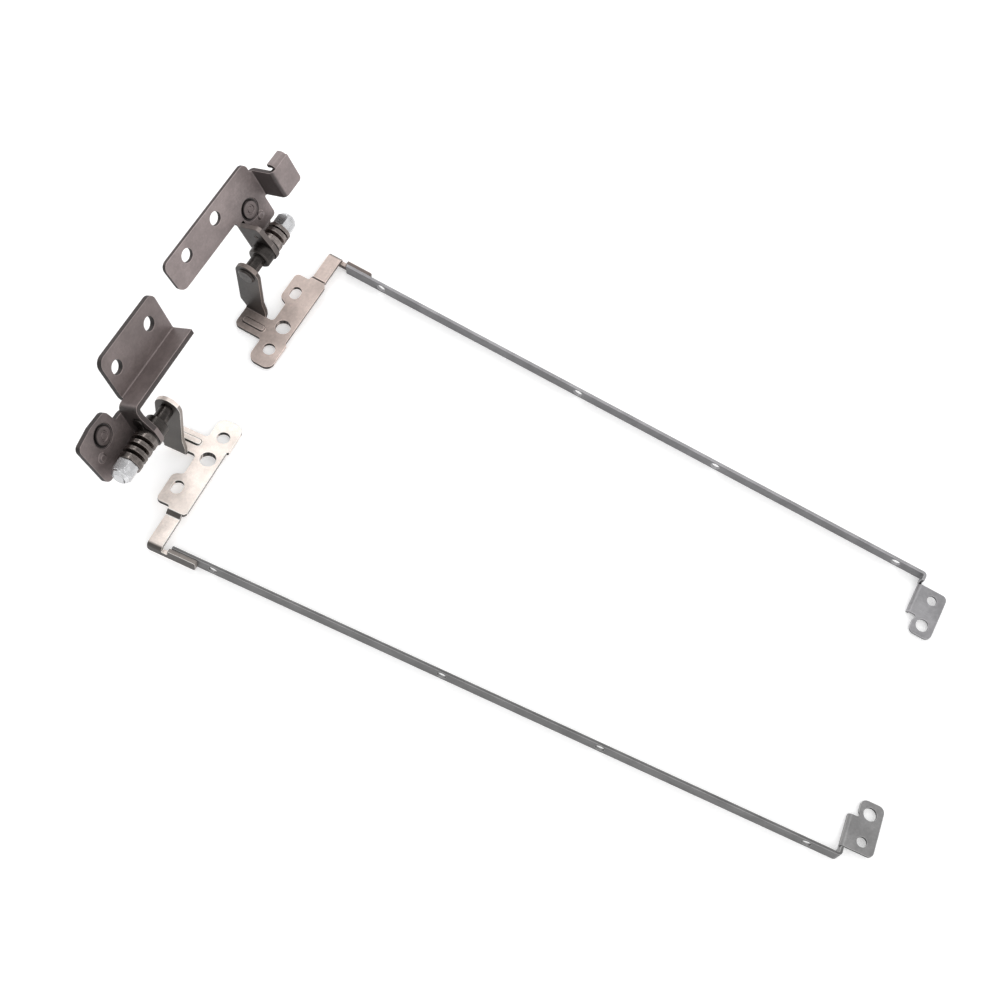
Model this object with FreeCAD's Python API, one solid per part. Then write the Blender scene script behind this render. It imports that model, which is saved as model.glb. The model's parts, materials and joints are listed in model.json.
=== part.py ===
import FreeCAD, Part
import math
import os

os.makedirs("parts", exist_ok=True)
V = FreeCAD.Vector

# A left and a right screen hinge of a small laptop, laid on a table as a pair. Each hinge is built in
# its own frame: x runs inward from the inner face of the rail, y runs along the rail from its first
# screw hole, z is up from the top face of the lid plate. Sizes are in millimetres.

# lid side: bent sheet, the same on both hinges, mirrored
lid_sheet = 1.1
lid_end_x = 34.0
lid_near_y = -16.8
lid_far_y = -10.6
lid_step_x = 26.4
lid_step = 0.5
lid_joggle_x = 7.6
lid_joggle_run = 1.2
lid_joggle_drop = 1.0
lid_ear_x0 = 8.2
lid_ear_x1 = 16.8
lid_ear_y = -19.0
ext_near_y = -15.5
ext_far_y = -12.0
neck_x0 = 22.4
neck_x1 = 27.9
neck_end_y = -24.3
neck_bead_w = 1.9
neck_bead_rise = 0.45
neck_bead_slope = 0.3
lid_holes = [(29.3, -13.6, 3.0), (22.6, -13.9, 3.7)]
lid_bush_wall = 0.6
lid_bush_depth = 0.6
lid_slot = (13.1, -16.3)
lid_slot_w = 2.6
lid_slot_len = 3.4

# rail: a separate flat strip on edge, welded to the inner face of the lid sheet's side wall
rail_sheet = 0.7
rail_height = 3.4
rail_top_z = -0.6
rail_start_y = -10.0
rail_span = 140.5
rail_end_past = 7.5
rail_inner_holes_y = [55.2, 92.6]
rail_hole_d = 2.2
wall_end_y = -3.7
wall_relief = 1.5
jog_height = 1.4
return_lift = 0.3
jog_end_x = 9.8
tab_x0 = 2.1
tab_x1 = 14.2
tab_reach = 6.7
tab_top_z = -1.6
tab_lobe_reach = 1.2
tab_holes_past = [(4.7, 3.6, 2.3), (11.4, 3.8, 3.0)]

# shaft and friction stack, on an axis along x
axis_y = -22.6
axis_z = 16.0
arm_half = 3.1
arm_set = 0.8
arm_lap = 1.2
arm_toe_low = 0.8
arm_toe_high = 3.0
arm_toe_round = 1.5
arm_flare = 0.6
arm_flare_low = 2.0
arm_flare_high = 5.0
arm_flare_round = 2.0
journal_d = 3.5
collar_d = 5.5
collar_len = 2.8
neck_flat = 2.7
tenon_d = 2.9
tenon_flat = 2.1
head_d = 4.2
head_len = 0.6
head_chamfer = 0.35
collar_chamfer = 0.3
key_d = 3.0
key_flat = 2.3
washer_d = 5.5
plate_t = 0.5
washer_t = 0.9
spring_t = 0.5
spring_rise = 0.45
left_springs = 3
right_springs = 6
nut_flats = 4.6
nut_len = 3.0
nut_crown_d = 4.2
nut_crown_len = 0.9
nut_crown_chamfer = 0.5
shaft_proud = 0.1
run_fit = 0.04
key_fit = 0.03
axial_gap = 0.02

# base side: the part screwed to the computer, drawn on the shaft axis with y along the plate
knuckle_t = 1.3
knuckle_x = 14.6
bore_end_y = 2.9
knuckle_top = 2.9
wall_round = 2.4
shoulder_y = -1.8
lock_pin_y = -4.4
lock_pin_d = 0.9
base_top = -3.3
base_sheet = 1.0
rivet_d = 2.8
rivet_ring_d = 5.6
rivet_head_d = 4.6
rivet_sink = 0.3
rivet_proud = 0.2
rivet_tail_d = 4.2
rivet_tail = 0.6
rivet_head_chamfer = 0.2
rivet_tail_chamfer = 0.35
base_hole_d = 3.3
dimple_d = 2.4
dimple_top_d = 1.3
dimple_rise = 0.35

# left base plate
left_plate_x1 = 36.6
left_plate_y0 = -17.4
left_plate_y1 = -8.7
left_plate_holes = [(18.8, -14.2), (30.0, -14.2)]
left_rivet = (9.9, -7.9)
left_dimple = (8.4, -4.5)
lobe_gap = 0.3
left_lobe_near_y = -7.6
left_lobe_y = -1.2
left_wall_y = -7.0
left_wall_shoulder = 1.8
left_foot_x = 6.2
left_foot_y = -10.8
hook_x = 3.9
hook_reach = -2.6
hook_y0 = -14.3
hook_y1 = -6.7
hook_top = 3.0
hook_lip = 2.4

# right base bracket
right_plate_x0 = 16.0
right_plate_x1 = 37.4
right_plate_y0 = -18.9
right_plate_top = -3.9
right_plate_holes = [(32.4, -14.4), (19.4, -14.4)]
right_flange_y = -7.3
right_flange_top = 1.3
right_flange_lift = 0.4
right_rivet = (6.5, -7.2)
right_dimple = (3.2, -3.9)
right_shoulder_y = -5.6
right_foot_far = [(-0.4, -10.2, 1.4), (5.0, -11.1, 3.0), (10.2, -10.9, 1.8)]
right_foot_notch_x = 11.2
right_foot_x = 0.6
right_foot_y = 1.7
right_foot_gap = 0.3
right_foot_lap = 3.0

# bends, and the laps of the blanks that one bent sheet is joined from
bend_in = 0.3
lap = 1.0
plate_lap = 0.4
knuckle_lap = 2.0

# lie of the pair: how far each base is opened past flat closed, and where the right hinge lies
left_open = 117.0
right_open = 117.0
pair_gap = 83.5
right_shift = 6.6
right_turn = 4.9

rail_bottom_z = rail_top_z - rail_height
rail_holes_y = [0.0] + rail_inner_holes_y + [rail_span]
rail_end_y = rail_span + rail_end_past
tab_y1 = rail_end_y + tab_reach
tab_lobe_y = rail_end_y + tab_lobe_reach
tab_holes = [(x, rail_end_y + past, d) for x, past, d in tab_holes_past]
lie_roll = math.degrees(math.atan2(-lid_sheet - rail_bottom_z, lid_end_x))


def at(plane, a, b, c):
    """Point with in-plane coordinates a, b at level c of a plane named by its two axes."""
    if plane == "xy":
        return V(a, b, c)
    if plane == "yz":
        return V(c, a, b)
    return V(a, c, b)


def slab(plane, corners, level, thick):
    """Flat blank: outline of (a, b) or (a, b, corner radius) points, thickened along the plane's normal."""
    pts = []
    for c in corners:
        pts.append((V(c[0], c[1], 0), c[2] if len(c) > 2 else 0.0))
    runs = []
    for i in range(len(pts)):
        p, r = pts[i]
        u = (pts[i - 1][0] - p).normalize()
        w = (pts[(i + 1) % len(pts)][0] - p).normalize()
        if r == 0.0:
            runs.append((p, None, p))
            continue
        half = u.getAngle(w) / 2.0
        mid = (u + w).normalize()
        back = r / math.tan(half)
        near = p + mid * (r / math.sin(half) - r)
        runs.append((p + u * back, near, p + w * back))
    edges = []
    for i in range(len(runs)):
        start, near, end = runs[i]
        if near is not None:
            arc = [at(plane, q.x, q.y, level) for q in (start, near, end)]
            edges.append(Part.Arc(arc[0], arc[1], arc[2]).toShape())
        after = runs[(i + 1) % len(runs)][0]
        if (after - end).Length > 1e-6:
            a = at(plane, end.x, end.y, level)
            b = at(plane, after.x, after.y, level)
            edges.append(Part.makeLine(a, b))
    face = Part.Face(Part.Wire(Part.__sortEdges__(edges)))
    return face.extrude(at(plane, 0, 0, thick))


def box(x0, x1, y0, y1, z0, z1):
    """Block between two corners."""
    return Part.makeBox(x1 - x0, y1 - y0, z1 - z0, V(x0, y0, z0))


def post(x, y, z0, z1, d):
    """Upright round bar."""
    return Part.makeCylinder(d / 2.0, z1 - z0, V(x, y, z0))


def rod(x0, x1, d, y=0.0, z=0.0):
    """Round bar along x."""
    return Part.makeCylinder(d / 2.0, x1 - x0, V(x0, y, z), V(1, 0, 0))


def double_d(x0, x1, d, flat):
    """Round bar along x with two upright flats."""
    return rod(x0, x1, d).common(box(x0, x1, -flat / 2.0, flat / 2.0, -d, d))


def turned(profile):
    """Solid of revolution about the x axis from (x, radius) points."""
    pts = [V(x, 0, r) for x, r in profile]
    face = Part.Face(Part.makePolygon(pts + [pts[0]]))
    return face.revolve(V(0, 0, 0), V(1, 0, 0), 360)


def joined(*shapes):
    """One clean solid from touching or overlapping shapes."""
    whole = shapes[0].multiFuse(list(shapes[1:]))
    return whole.removeSplitter().Solids[0]


def lid_bracket():
    """Lid plate with screw holes, stiffened neck, upright arm, stepped-down end and side wall."""
    t = lid_sheet
    plate_y = lid_far_y - lid_step
    flat = slab("xy", [
        (lid_end_x, lid_far_y, 2.0),
        (lid_end_x, lid_near_y, 2.2),
        (neck_x1, lid_near_y, 0.7),
        (neck_x1, neck_end_y, 1.4),
        (neck_x0 + arm_set, neck_end_y),
        (neck_x0 + arm_set, axis_y + arm_half + arm_flare),
        (neck_x0, axis_y + arm_half + arm_flare),
        (neck_x0, lid_near_y, 0.9),
        (lid_ear_x1, lid_near_y, 0.8),
        (lid_ear_x1 - 1.0, lid_ear_y, 1.6),
        (lid_ear_x0, lid_ear_y, 1.2),
        (lid_ear_x0, ext_near_y, 0.5),
        (lid_joggle_x - 0.2, ext_near_y),
        (lid_joggle_x - 0.2, plate_y - 0.5),
        (lid_joggle_x + 0.6, plate_y),
        (lid_step_x - 0.4, plate_y),
        (lid_step_x, lid_far_y)], -t, t)
    # arm standing on the neck, its top rounded about the shaft axis
    bend = slab("xz", [
        (neck_x0 + arm_lap, -t),
        (neck_x0 - t, -t, t + bend_in),
        (neck_x0 - t, axis_z + arm_half),
        (neck_x0, axis_z + arm_half),
        (neck_x0, 0, bend_in),
        (neck_x0 + arm_lap, 0)], axis_y - arm_half, 2 * arm_half + arm_flare)
    side = slab("yz", [
        (neck_end_y, -t),
        (neck_end_y, arm_toe_low, 1.0),
        (axis_y - arm_half, arm_toe_high, arm_toe_round),
        (axis_y - arm_half, axis_z + arm_half, arm_half - 0.01),
        (axis_y + arm_half, axis_z + arm_half, arm_half - 0.01),
        (axis_y + arm_half, arm_flare_high, arm_flare_round),
        (axis_y + arm_half + arm_flare, arm_flare_low, 1.0),
        (axis_y + arm_half + arm_flare, -t)], neck_x0 - 2 * t, 4 * t)
    arm = bend.common(side)
    # end of the plate steps down, then folds down into the side wall that carries the rail
    x_wall = -rail_sheet
    low = -lid_joggle_drop
    foot = lid_joggle_x - lid_joggle_run
    fold = slab("xz", [
        (lid_joggle_x + 0.2, 0),
        (lid_joggle_x - 0.2, 0),
        (foot, low),
        (x_wall - t, low, t + bend_in),
        (x_wall - t, rail_bottom_z),
        (x_wall, rail_bottom_z),
        (x_wall, low - t, bend_in),
        (foot + 0.2, low - t),
        (lid_joggle_x, -t),
        (lid_joggle_x + 0.2, -t)], ext_near_y, ext_far_y - ext_near_y)
    wall = slab("yz", [
        (ext_near_y, low - t - 0.5),
        (ext_near_y, rail_bottom_z, 0.8),
        (wall_end_y, rail_bottom_z, 0.8),
        (wall_end_y, low, 0.5),
        (ext_far_y + wall_relief, low, 0.3),
        (ext_far_y + wall_relief, low - t - 0.5, 0.4),
        (ext_far_y, low - t - 0.5)], x_wall - t, t)
    corner = box(x_wall - t, x_wall, ext_near_y, ext_near_y + 0.8, rail_bottom_z, rail_bottom_z + 0.8)
    fold = fold.cut(corner)
    # pressed bead along the neck and a drawn collar under one screw hole
    bead_x = (neck_x0 + neck_x1) / 2.0 + 0.4
    bead = slab("xy", [
        (bead_x - neck_bead_w / 2, neck_end_y + 1.0, 0.9),
        (bead_x + neck_bead_w / 2, neck_end_y + 1.0, 0.9),
        (bead_x + neck_bead_w / 2, lid_near_y - 0.3, 0.9),
        (bead_x - neck_bead_w / 2, lid_near_y - 0.3, 0.9)], -0.2, neck_bead_rise + 0.2)
    crest = [e for e in bead.Edges if e.BoundBox.ZMin > neck_bead_rise - 1e-6]
    bead = bead.makeChamfer(neck_bead_slope, crest)
    bush_x, bush_y, bush_d = lid_holes[1]
    bush = post(bush_x, bush_y, -t - lid_bush_depth, -t, bush_d + 2 * lid_bush_wall)
    body = joined(flat, arm, fold, wall, bead, bush)
    cuts = []
    for x, y, d in lid_holes:
        cuts.append(post(x, y, -2 * t - lid_bush_depth, t, d))
    slot_x, slot_y = lid_slot
    half = lid_slot_w / 2.0
    ends = lid_slot_len / 2.0
    cuts.append(slab("xy", [
        (slot_x - ends, slot_y - half, half * 0.99),
        (slot_x + ends, slot_y - half, half * 0.99),
        (slot_x + ends, slot_y + half, half * 0.99),
        (slot_x - ends, slot_y + half, half * 0.99)], -2 * t, 3 * t))
    tenon = double_d(neck_x0 - 2 * t, neck_x0 + t, tenon_d, tenon_flat)
    tenon.translate(V(0, axis_y, axis_z))
    cuts.append(tenon)
    return body.cut(Part.makeCompound(cuts)).Solids[0]


def rail():
    """Strip on edge with four side screw holes, turned inward at the far end into a drilled tab."""
    t = rail_sheet
    y_in = rail_end_y - t
    strip = slab("xy", [
        (-t, rail_start_y),
        (-t, rail_end_y, t + bend_in),
        (tab_x0 - 0.6, rail_end_y),
        (tab_x0 - 0.6, y_in),
        (0, y_in, bend_in),
        (0, rail_start_y)], rail_bottom_z, rail_height)
    # the turned end stands clear of the table under the strip's lower edge
    strip = strip.cut(box(0, tab_x0, y_in - t, rail_end_y, rail_bottom_z, rail_bottom_z + return_lift))
    jog_low = tab_top_z - jog_height
    jog = box(0, jog_end_x, y_in, rail_end_y, jog_low, tab_top_z - t)
    fold = slab("yz", [
        (y_in, jog_low),
        (y_in, tab_top_z, t + bend_in),
        (tab_lobe_y + 0.3, tab_top_z),
        (tab_lobe_y + 0.3, tab_top_z - t),
        (rail_end_y, tab_top_z - t, bend_in),
        (rail_end_y, jog_low)], tab_x0, jog_end_x - tab_x0)
    tab = slab("xy", [
        (tab_x0, tab_lobe_y),
        (tab_x0, tab_y1, 1.3),
        (tab_x1, tab_y1, 1.5),
        (tab_x1, tab_lobe_y, 1.5),
        (jog_end_x + 1.2, tab_lobe_y, 0.8),
        (jog_end_x, tab_lobe_y + 1.0, 0.5),
        (jog_end_x, tab_lobe_y)], tab_top_z - t, t)
    body = joined(strip, jog, fold, tab)
    cuts = []
    z_mid = rail_top_z - rail_height / 2.0
    for y in rail_holes_y:
        cuts.append(rod(-2 * t, t, rail_hole_d, y, z_mid))
    for x, y, d in tab_holes:
        cuts.append(post(x, y, tab_top_z - 2 * t, tab_top_z + t, d))
    return body.cut(Part.makeCompound(cuts)).Solids[0]


def shaft(springs):
    """Pin with collar, keyed end and a tenon peened over the arm, on the x axis."""
    x_arm = neck_x0 - lid_sheet
    x_collar = knuckle_x + axial_gap
    x_face = knuckle_x - knuckle_t
    neck = double_d(x_collar, x_arm, journal_d, neck_flat)
    collar = rod(x_collar, x_collar + collar_len, collar_d)
    rim = [e for e in collar.Edges if e.BoundBox.XMin > x_collar + collar_len - 1e-6]
    collar = collar.makeChamfer(collar_chamfer, rim)
    tenon = double_d(x_arm, neck_x0, tenon_d, tenon_flat)
    head = rod(neck_x0, neck_x0 + head_len, head_d)
    crown = [e for e in head.Edges if e.BoundBox.XMin > neck_x0 + head_len - 1e-6]
    head = head.makeChamfer(head_chamfer, crown)
    journal = rod(x_face, x_collar, journal_d)
    tip = stack_end(springs) - nut_len - nut_crown_len - shaft_proud
    key = double_d(tip, x_face, key_d, key_flat)
    return joined(collar, neck, tenon, head, journal, key)


def stack_end(springs):
    """Position on the axis where a friction stack of so many disc springs meets the nut."""
    x = knuckle_x - knuckle_t - plate_t - axial_gap - 2 * washer_t
    return x - springs * (spring_t + spring_rise)


def lock_plate():
    """Fixed friction plate: a disc with a pin that keeps it from turning on the knuckle wall."""
    x1 = knuckle_x - knuckle_t
    x0 = x1 - plate_t
    disc = rod(x0, x1, washer_d)
    lobe = rod(x0, x1, lock_pin_d + 1.6, lock_pin_y)
    web = box(x0, x1, lock_pin_y, 0, -lock_pin_d, lock_pin_d)
    pin = rod(x0, x1 + knuckle_t * 0.8, lock_pin_d, lock_pin_y)
    whole = joined(disc, lobe, web, pin)
    return whole.cut(rod(x0 - 1, x1 + 0.001, key_d + 2 * run_fit)).Solids[0]


def keyed_washer(x1):
    """Flat washer that turns with the shaft; x1 is its face nearest the knuckle."""
    disc = rod(x1 - washer_t, x1, washer_d)
    hole = double_d(x1 - 2 * washer_t, x1 + washer_t, key_d + 2 * key_fit, key_flat + 2 * key_fit)
    return disc.cut(hole).Solids[0]


def disc_spring(index):
    """Cone washer; each one is set the other way round to the one before it."""
    pitch = spring_t + spring_rise
    x1 = knuckle_x - knuckle_t - plate_t - axial_gap - washer_t - index * pitch
    ri = key_d / 2 + key_fit
    ro = washer_d / 2
    near_in = 0.0 if index % 2 else -spring_rise
    near_out = -spring_rise if index % 2 else 0.0
    return turned([
        (x1 + near_in, ri),
        (x1 + near_out, ro),
        (x1 + near_out - spring_t, ro),
        (x1 + near_in - spring_t, ri)])


def lock_nut(springs):
    """Hexagon nut with a rounded crown, screwed on the shaft end."""
    x1 = stack_end(springs)
    x0 = x1 - nut_len
    r = nut_flats / math.sqrt(3)
    ring = []
    for i in range(6):
        a = math.radians(60 * i + 15)
        ring.append((r * math.cos(a), r * math.sin(a)))
    hexagon = slab("yz", ring, x0, nut_len)
    cone = turned([(x0, 0), (x0, r - 0.35), (x0 + 0.35, r), (x1 - 0.25, r), (x1, r - 0.25), (x1, 0)])
    crown = rod(x0 - nut_crown_len, x0, nut_crown_d)
    edge = [e for e in crown.Edges if e.BoundBox.XMax < x0 - nut_crown_len + 1e-6]
    crown = crown.makeChamfer(nut_crown_chamfer, edge)
    body = joined(hexagon.common(cone), crown)
    return body.cut(rod(x0 - 2 * nut_crown_len, x1 + 1, key_d)).Solids[0]


def dimple(spot, top):
    """Pressed locating bump on the top face of a sheet."""
    return Part.makeCone(dimple_d / 2, dimple_top_d / 2, dimple_rise, V(spot[0], spot[1], top))


def rivet(spot, top, grip):
    """Flat-headed rivet in a shallow ring seat; top is the sheet's face, grip the metal it holds."""
    x, y = spot
    head = post(x, y, top - rivet_sink, top + rivet_proud, rivet_head_d)
    rim = [e for e in head.Edges if e.BoundBox.ZMin > top + rivet_proud - 1e-6]
    head = head.makeChamfer(rivet_head_chamfer, rim)
    hollow = post(x, y, top, top + rivet_proud + 0.1, rivet_head_d * 0.5)
    ring = post(x, y, top - 0.05, top + rivet_proud + 0.1, rivet_head_d * 0.32)
    shank = post(x, y, top - grip, top - rivet_sink, rivet_d)
    tail = post(x, y, top - grip - rivet_tail, top - grip, rivet_tail_d)
    low = [e for e in tail.Edges if e.BoundBox.ZMax < top - grip - rivet_tail + 1e-6]
    tail = tail.makeChamfer(rivet_tail_chamfer, low)
    return joined(head.cut(hollow.cut(ring)), shank, tail)


def rivet_seat(spot, top, depth):
    """Ring seat and hole for a rivet, as one cutter."""
    seat = post(spot[0], spot[1], top - rivet_sink, top + 1, rivet_ring_d)
    return seat.fuse(post(spot[0], spot[1], top - depth, top, rivet_d))


def left_base():
    """Left base plate with two screw holes, a riveted lobe and a raised hook at its outer end."""
    t = base_sheet
    low = base_top - t
    lobe_x = knuckle_x - knuckle_t - lobe_gap
    plate = slab("xy", [
        (left_plate_x1, left_plate_y0, 1.8),
        (left_plate_x1, left_plate_y1, 2.2),
        (knuckle_x + 0.4, left_plate_y1, 0.5),
        (knuckle_x + 0.4, left_lobe_near_y, 0.3),
        (lobe_x, left_lobe_near_y, 0.3),
        (lobe_x, left_lobe_y, 1.0),
        (hook_x + 0.6, left_lobe_y, 1.0),
        (hook_x + 0.6, hook_y1, 0.3),
        (hook_x + 0.2, hook_y1),
        (hook_x + 0.2, hook_y0),
        (hook_x + 0.6, hook_y0 - 0.3, 0.3),
        (hook_x + 0.6, left_plate_y0, 1.8)], low, t)
    hook = slab("xz", [
        (hook_x + lap, low),
        (hook_x - t, low, t + bend_in),
        (hook_x - t, hook_top - t, bend_in),
        (hook_reach, hook_top - t),
        (hook_reach, hook_top),
        (hook_x, hook_top, t + bend_in),
        (hook_x, base_top, bend_in),
        (hook_x + lap, base_top)], hook_y0, hook_y1 - hook_y0)
    lip = slab("yz", [
        (hook_y0 + lap, hook_top),
        (hook_y0 - t, hook_top, t + bend_in),
        (hook_y0 - t, hook_top - hook_lip, 0.3),
        (hook_y0, hook_top - hook_lip, 0.3),
        (hook_y0, hook_top - t, bend_in),
        (hook_y0 + lap, hook_top - t)], hook_reach + 0.3, hook_x - t - hook_reach - 1.0)
    hook = hook.common(slab("xy", [
        (hook_reach, hook_y0),
        (hook_reach, hook_y1, 0.9),
        (hook_x + lap, hook_y1),
        (hook_x + lap, hook_y0)], low, hook_top - low))
    body = joined(plate, hook, lip, dimple(left_dimple, base_top))
    cuts = [rivet_seat(left_rivet, base_top, t + 1)]
    for x, y in left_plate_holes:
        cuts.append(post(x, y, low - 1, base_top + 1, base_hole_d))
    return body.cut(Part.makeCompound(cuts)).Solids[0]


def knuckle_cuts():
    """Shaft bore and locking hole of a knuckle wall."""
    x0 = knuckle_x - knuckle_t - 1
    bore = rod(x0, knuckle_x + 1, journal_d + 2 * run_fit)
    hole = rod(x0, knuckle_x + 1, lock_pin_d, lock_pin_y)
    return Part.makeCompound([bore, hole])


def left_knuckle():
    """Left knuckle: a foot under the base plate's lobe, bent up into the wall that carries the shaft."""
    t = knuckle_t
    top = base_top - base_sheet
    x_in = knuckle_x - t
    bend = slab("xz", [
        (x_in - knuckle_lap, top),
        (x_in, top, bend_in),
        (x_in, knuckle_top),
        (knuckle_x, knuckle_top),
        (knuckle_x, top - t, t + bend_in),
        (x_in - knuckle_lap, top - t)], left_wall_y, bore_end_y - left_wall_y)
    side = slab("yz", [
        (left_wall_y, top - t),
        (left_wall_y, left_wall_shoulder, 0.9),
        (shoulder_y, knuckle_top, 1.5),
        (bore_end_y, knuckle_top, wall_round),
        (bore_end_y, top - t, wall_round)], x_in - 3 * t, 5 * t)
    foot = slab("xy", [
        (left_foot_x, left_foot_y, 1.4),
        (x_in - lap, left_foot_y, 1.4),
        (x_in - lap, bore_end_y - wall_round),
        (left_foot_x, bore_end_y - wall_round, 1.0)], top - t, t)
    body = joined(bend.common(side), foot)
    hole = post(left_rivet[0], left_rivet[1], top - t - 1, top + 1, rivet_d)
    return body.cut(knuckle_cuts()).cut(hole).Solids[0]


def right_base():
    """Right base bracket: screw plate, upright flange, knuckle wall and riveted foot from one sheet."""
    t = knuckle_t
    x_in = knuckle_x - t
    y_in = right_flange_y - t
    low = right_plate_top - t
    notch_y = right_flange_y + right_foot_gap
    plate = slab("xy", [
        (right_plate_x1, right_plate_y0, 1.8),
        (right_plate_x0, right_plate_y0, 2.2),
        (right_plate_x0, y_in - plate_lap),
        (right_plate_x1, y_in - plate_lap)], low, t)
    fold = slab("yz", [
        (y_in - lap, right_plate_top),
        (y_in, right_plate_top, bend_in),
        (y_in, right_flange_top),
        (right_flange_y, right_flange_top),
        (right_flange_y, low, t + bend_in),
        (y_in - lap, low)], right_plate_x0, right_plate_x1 - right_plate_x0)
    # flange runs on past the plate and turns into the knuckle wall
    turn = slab("xy", [
        (right_plate_x0 + lap, y_in),
        (x_in, y_in, t + bend_in),
        (x_in, bore_end_y),
        (knuckle_x, bore_end_y),
        (knuckle_x, right_flange_y, bend_in),
        (right_plate_x0 + lap, right_flange_y)], base_top - t, knuckle_top + t - base_top)
    side = slab("yz", [
        (y_in, right_plate_top + right_flange_lift),
        (y_in, right_flange_top),
        (right_shoulder_y, right_flange_top, 2.0),
        (shoulder_y, knuckle_top, 1.5),
        (bore_end_y, knuckle_top, wall_round),
        (bore_end_y, base_top + lap),
        (notch_y, base_top + lap),
        (notch_y, right_plate_top + right_flange_lift)], x_in - lap, right_plate_x0 + 3 * lap - x_in)
    foot_bend = slab("xz", [
        (x_in - right_foot_lap, base_top),
        (x_in, base_top, bend_in),
        (x_in, base_top + 2 * lap),
        (knuckle_x, base_top + 2 * lap),
        (knuckle_x, base_top - t, t + bend_in),
        (x_in - right_foot_lap, base_top - t)], notch_y, right_foot_y - notch_y)
    wall = turn.common(side)
    tongue = slab("yz", [
        (right_foot_y, base_top + lap),
        (right_foot_y, base_top - 0.2, 0.6),
        (bore_end_y, base_top + lap)], x_in, t)
    foot = slab("xy", right_foot_far + [
        (right_foot_notch_x, notch_y, 0.6),
        (x_in - lap, notch_y),
        (x_in - lap, right_foot_y),
        (right_foot_x, right_foot_y, 1.6)], base_top - t, t)
    body = joined(plate, fold, wall, foot_bend, tongue, foot, dimple(right_dimple, base_top))
    cuts = [rivet_seat(right_rivet, base_top, t + 1), knuckle_cuts()]
    for x, y in right_plate_holes:
        cuts.append(post(x, y, low - 1, right_plate_top + 1, base_hole_d))
    return body.cut(Part.makeCompound(cuts)).Solids[0]


def on_axis(shape, opened=None):
    """Carry a shape from the shaft axis to its hinge, opened by so many degrees when it is a base part."""
    moved = shape.copy()
    if opened is not None:
        moved.rotate(V(0, 0, 0), V(1, 0, 0), opened - 180.0)
    moved.translate(V(0, axis_y, axis_z))
    return moved


def lay_down(shape, right):
    """Lay a hinge on the table on its rail edge and plate end; the right one is mirrored and set apart."""
    laid = shape.mirror(V(0, 0, 0), V(1, 0, 0)) if right else shape.copy()
    laid.translate(V(0, 0, -rail_bottom_z))
    laid.rotate(V(0, 0, 0), V(0, 1, 0), -lie_roll if right else lie_roll)
    if right:
        laid.rotate(V(0, 0, 0), V(0, 0, 1), right_turn)
        laid.translate(V(pair_gap, right_shift, 0))
    return laid


def hinge(right):
    """All pieces of one hinge by name, laid on the table."""
    opened = right_open if right else left_open
    springs = right_springs if right else left_springs
    x_wash = knuckle_x - knuckle_t - plate_t - axial_gap
    pieces = {"lid_bracket": lid_bracket(), "rail": rail()}
    pieces["shaft"] = on_axis(shaft(springs))
    pieces["friction_washer"] = on_axis(keyed_washer(x_wash))
    for i in range(springs):
        pieces["disc_spring_%d" % (i + 1)] = on_axis(disc_spring(i))
    pieces["end_washer"] = on_axis(keyed_washer(stack_end(springs) + washer_t))
    pieces["lock_nut"] = on_axis(lock_nut(springs))
    pieces["lock_plate"] = on_axis(lock_plate(), opened)
    if right:
        pieces["base_bracket"] = on_axis(right_base(), opened)
        pieces["rivet"] = on_axis(rivet(right_rivet, base_top, knuckle_t), opened)
    else:
        pieces["base_plate"] = on_axis(left_base(), opened)
        pieces["knuckle"] = on_axis(left_knuckle(), opened)
        pieces["rivet"] = on_axis(rivet(left_rivet, base_top, base_sheet + knuckle_t), opened)
    side = "right_" if right else "left_"
    return {side + name: lay_down(piece, right) for name, piece in pieces.items()}


# origin: middle of the laid-out pair, on the table
pair = hinge(False)
pair.update(hinge(True))
span = Part.makeCompound(list(pair.values())).optimalBoundingBox(False)
for name, piece in pair.items():
    piece.translate(V(-span.Center.x, -span.Center.y, -span.ZMin))
    piece.exportStep("parts/%s.step" % name)
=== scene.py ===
"""Looks of a left and a right laptop screen hinge, lying on a pale table.

Every sheet, pin and washer is a copy of its solid with worn, rounded edges. Faces of the sheet, its
sheared edges and its rounded rims are told apart, and each gets a finish of its own. Painted light is
part of these finishes: a painted highlight on the rims, painted shade or painted light on sheared
edges, painted shade on walls across the shafts, round the rivets and at the left lid's neck, and lit
and shaded copies of each metal for the two hinges.
"""
import json
import logging
import math
from abc import ABC, abstractmethod
from dataclasses import dataclass
from enum import Enum
from typing import Dict, List, Optional, Tuple

import bmesh
import bpy
from mathutils import Matrix, Vector
from mathutils.bvhtree import BVHTree
from mathutils.kdtree import KDTree


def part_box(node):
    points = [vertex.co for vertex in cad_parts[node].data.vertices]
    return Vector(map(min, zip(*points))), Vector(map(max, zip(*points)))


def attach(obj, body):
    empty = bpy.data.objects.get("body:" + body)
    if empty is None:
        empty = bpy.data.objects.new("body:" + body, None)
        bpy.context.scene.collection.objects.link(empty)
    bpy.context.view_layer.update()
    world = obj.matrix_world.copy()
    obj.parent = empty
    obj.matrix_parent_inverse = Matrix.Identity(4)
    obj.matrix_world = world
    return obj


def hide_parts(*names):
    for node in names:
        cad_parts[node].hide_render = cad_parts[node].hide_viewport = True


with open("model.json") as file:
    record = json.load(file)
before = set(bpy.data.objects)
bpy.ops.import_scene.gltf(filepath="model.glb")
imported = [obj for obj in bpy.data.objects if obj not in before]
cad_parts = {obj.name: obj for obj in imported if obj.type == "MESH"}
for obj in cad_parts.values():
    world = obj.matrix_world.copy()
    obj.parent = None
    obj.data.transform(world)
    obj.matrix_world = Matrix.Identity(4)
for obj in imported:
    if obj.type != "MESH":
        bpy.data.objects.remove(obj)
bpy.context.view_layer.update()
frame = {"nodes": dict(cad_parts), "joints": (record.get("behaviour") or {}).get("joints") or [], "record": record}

MM = 0.001
WHITE = (1.0, 1.0, 1.0, 1.0)
LOG = logging.getLogger("hinges")

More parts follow.
